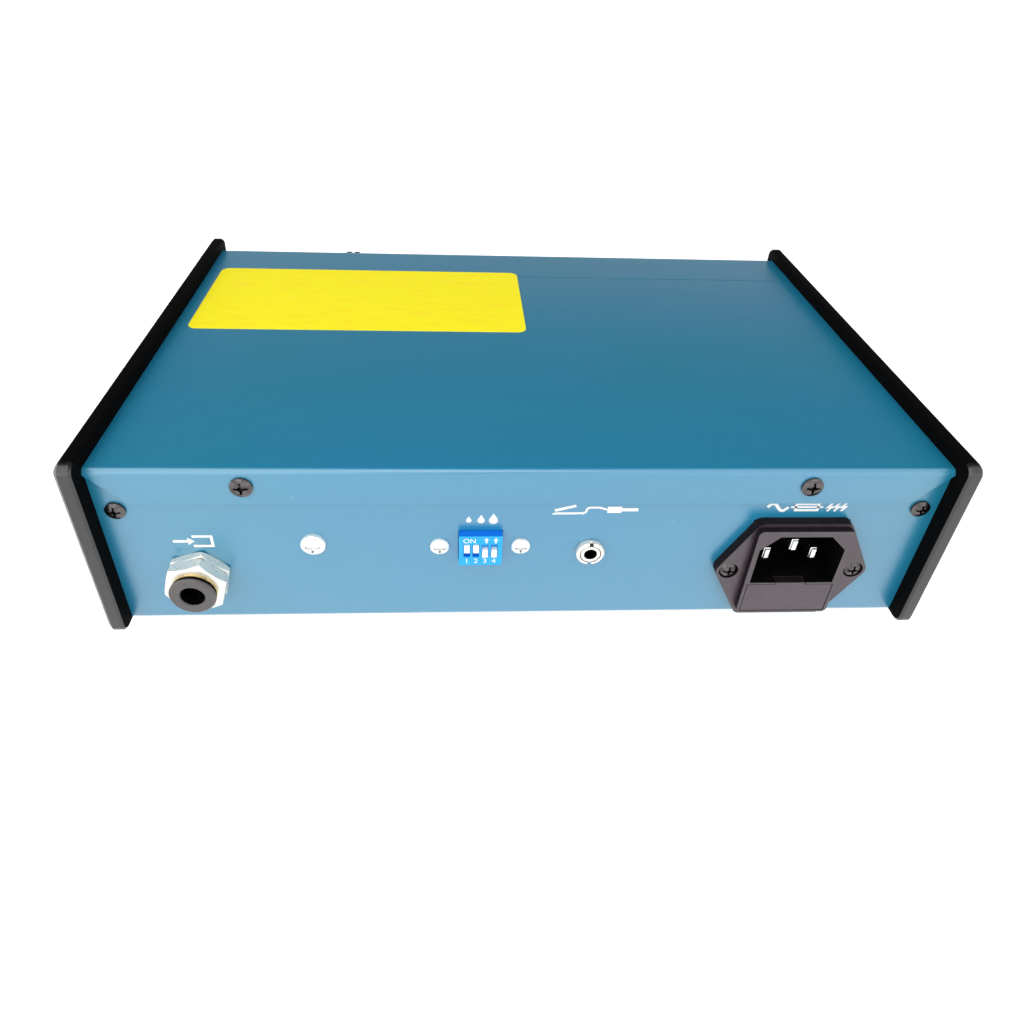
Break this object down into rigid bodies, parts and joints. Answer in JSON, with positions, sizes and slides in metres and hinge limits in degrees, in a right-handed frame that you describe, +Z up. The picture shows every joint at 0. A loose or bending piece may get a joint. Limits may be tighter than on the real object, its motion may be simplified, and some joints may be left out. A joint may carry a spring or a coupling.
{
  "type": "glue dispenser",
  "caption": "Bench glue dispenser in a folded sheet case between side plates, with air fittings, gauge, regulator, keys, mode switch, foot jack and mains inlet.",
  "frame": {"origin": "middle of the bounding box, at the bottom of the feet", "axes": "+X to the right seen from the front, +Y to the rear panel, +Z up"},
  "size_m": [0.24, 0.1802, 0.0658],
  "materials": {
    "case_blue": "fine satin powder paint",
    "side_black": "satin black",
    "base_zinc": "zinc plated sheet",
    "dark_screw": "black nickel",
    "zinc_screw": "bright zinc",
    "rubber_black": "matt",
    "label_yellow": "vinyl sticker",
    "nickel": "nickel plated brass",
    "brass": "bare brass",
    "black_plastic": "fine moulded grain",
    "inlet_plastic": "moulded, slightly warm black",
    "blade_metal": "bright nickel",
    "fuse_glass": "glass tube with metal caps",
    "switch_blue": "glossy moulded",
    "white_plastic": "moulded white",
    "board_green": "solder mask",
    "display_red": "smoked red window",
    "display_body": "grey display block",
    "gauge_steel": "polished ring",
    "gauge_glass": "clear lens",
    "dial_white": "white dial",
    "pointer_red": "red enamel",
    "cast_grey": "cast and bead blasted",
    "rocker_red": "glossy moulded",
    "winding_yellow": "taped winding",
    "sintered_bronze": "sintered, rough",
    "tube_blue": "polyurethane tube"
  },
  "bodies": {
    "case": {"bottom_plate": "base_zinc", "rear_panel": "case_blue", "front_panel": "case_blue", "top_cover": "case_blue", "side_plate_left": "side_black", "side_plate_right": "side_black", "cover_screws": "dark_screw", "side_screws": "dark_screw", "base_screws": "zinc_screw", "feet": "rubber_black", "foot_screws": "zinc_screw", "top_label": "label_yellow", "fitting_nuts": "nickel", "fitting_rings": "brass", "tube_seals": "rubber_black", "air_in_body": "nickel", "air_out_body": "nickel", "inlet_housing": "inlet_plastic", "inlet_blades": "blade_metal", "inlet_screws": "dark_screw", "jack_body": "black_plastic", "jack_nut": "nickel", "dip_body": "switch_blue", "dip_board": "board_green", "dip_screws": "zinc_screw", "valve_screw": "zinc_screw", "display_window": "display_red", "display_module": "display_body", "control_board": "board_green", "gauge_case": "black_plastic", "gauge_bezel": "gauge_steel", "gauge_lens": "gauge_glass", "gauge_dial": "dial_white", "regulator_body": "cast_grey", "panel_nuts": "nickel", "vacuum_valve": "nickel", "rocker_frame": "black_plastic", "power_supply": "board_green", "transformer": "winding_yellow", "solenoid_valve": "cast_grey", "silencer": "sintered_bronze", "vacuum_ejector": "cast_grey", "air_tubes": "tube_blue"},
    "air_in_collet": {"air_in_collet": "black_plastic"},
    "air_out_collet": {"air_out_collet": "black_plastic"},
    "fuse_drawer": {"fuse_drawer": "inlet_plastic", "fuses": "fuse_glass"},
    "dip_slider_1": {"dip_slider_1": "white_plastic"},
    "dip_slider_2": {"dip_slider_2": "white_plastic"},
    "dip_slider_3": {"dip_slider_3": "white_plastic"},
    "dip_slider_4": {"dip_slider_4": "white_plastic"},
    "key_1": {"key_1": "white_plastic"},
    "key_2": {"key_2": "white_plastic"},
    "key_3": {"key_3": "white_plastic"},
    "key_4": {"key_4": "white_plastic"},
    "gauge_pointer": {"gauge_pointer": "pointer_red"},
    "regulator_stem": {"regulator_stem": "gauge_steel"},
    "regulator_knob": {"regulator_knob": "black_plastic"},
    "vacuum_knob": {"vacuum_knob": "black_plastic"},
    "power_rocker": {"power_rocker": "rocker_red"}
  },
  "joints": [
    {"name": "air_in_release", "type": "slide", "parent": "case", "child": "air_in_collet", "axis": [0, -1, 0], "range_m": [0, 0.001], "stiffness_N_per_m": 500},
    {"name": "air_out_release", "type": "slide", "parent": "case", "child": "air_out_collet", "axis": [0, 1, 0], "range_m": [0, 0.001], "stiffness_N_per_m": 500},
    {"name": "fuse_drawer_slide", "type": "slide", "parent": "case", "child": "fuse_drawer", "axis": [0, 1, 0], "range_m": [0, 0.02]},
    {"name": "mode_slide_1", "type": "slide", "parent": "case", "child": "dip_slider_1", "axis": [0, 0, 1], "range_m": [-0.0017, 0]},
    {"name": "mode_slide_2", "type": "slide", "parent": "case", "child": "dip_slider_2", "axis": [0, 0, 1], "range_m": [-0.0017, 0]},
    {"name": "mode_slide_3", "type": "slide", "parent": "case", "child": "dip_slider_3", "axis": [0, 0, 1], "range_m": [0, 0.0017]},
    {"name": "mode_slide_4", "type": "slide", "parent": "case", "child": "dip_slider_4", "axis": [0, 0, 1], "range_m": [0, 0.0017]},
    {"name": "key_press_1", "type": "slide", "parent": "case", "child": "key_1", "axis": [0, 1, 0], "range_m": [0, 0.0006], "stiffness_N_per_m": 400},
    {"name": "key_press_2", "type": "slide", "parent": "case", "child": "key_2", "axis": [0, 1, 0], "range_m": [0, 0.0006], "stiffness_N_per_m": 400},
    {"name": "key_press_3", "type": "slide", "parent": "case", "child": "key_3", "axis": [0, 1, 0], "range_m": [0, 0.0006], "stiffness_N_per_m": 400},
    {"name": "key_press_4", "type": "slide", "parent": "case", "child": "key_4", "axis": [0, 1, 0], "range_m": [0, 0.0006], "stiffness_N_per_m": 400},
    {"name": "gauge_turn", "type": "hinge", "parent": "case", "child": "gauge_pointer", "pos_m": [0.019, -0.0651, 0.0339], "axis": [0, 1, 0], "range_deg": [0, 270], "stiffness_Nm_per_rad": 0.0003},
    {"name": "regulator_turn", "type": "hinge", "parent": "case", "child": "regulator_stem", "pos_m": [0.06507, -0.0681, 0.04], "axis": [0, 1, 0], "range_deg": [-720, 720]},
    {"name": "regulator_lock", "type": "slide", "parent": "regulator_stem", "child": "regulator_knob", "axis": [0, -1, 0], "range_m": [0, 0.003]},
    {"name": "vacuum_turn", "type": "hinge", "parent": "case", "child": "vacuum_knob", "pos_m": [0.09753, -0.0681, 0.0435], "axis": [0, 1, 0], "range_deg": [-360, 720]},
    {"name": "power_tilt", "type": "hinge", "parent": "case", "child": "power_rocker", "pos_m": [-0.09803, -0.0666, 0.0339], "axis": [-1, 0, 0], "range_deg": [0, 22]}
  ]
}
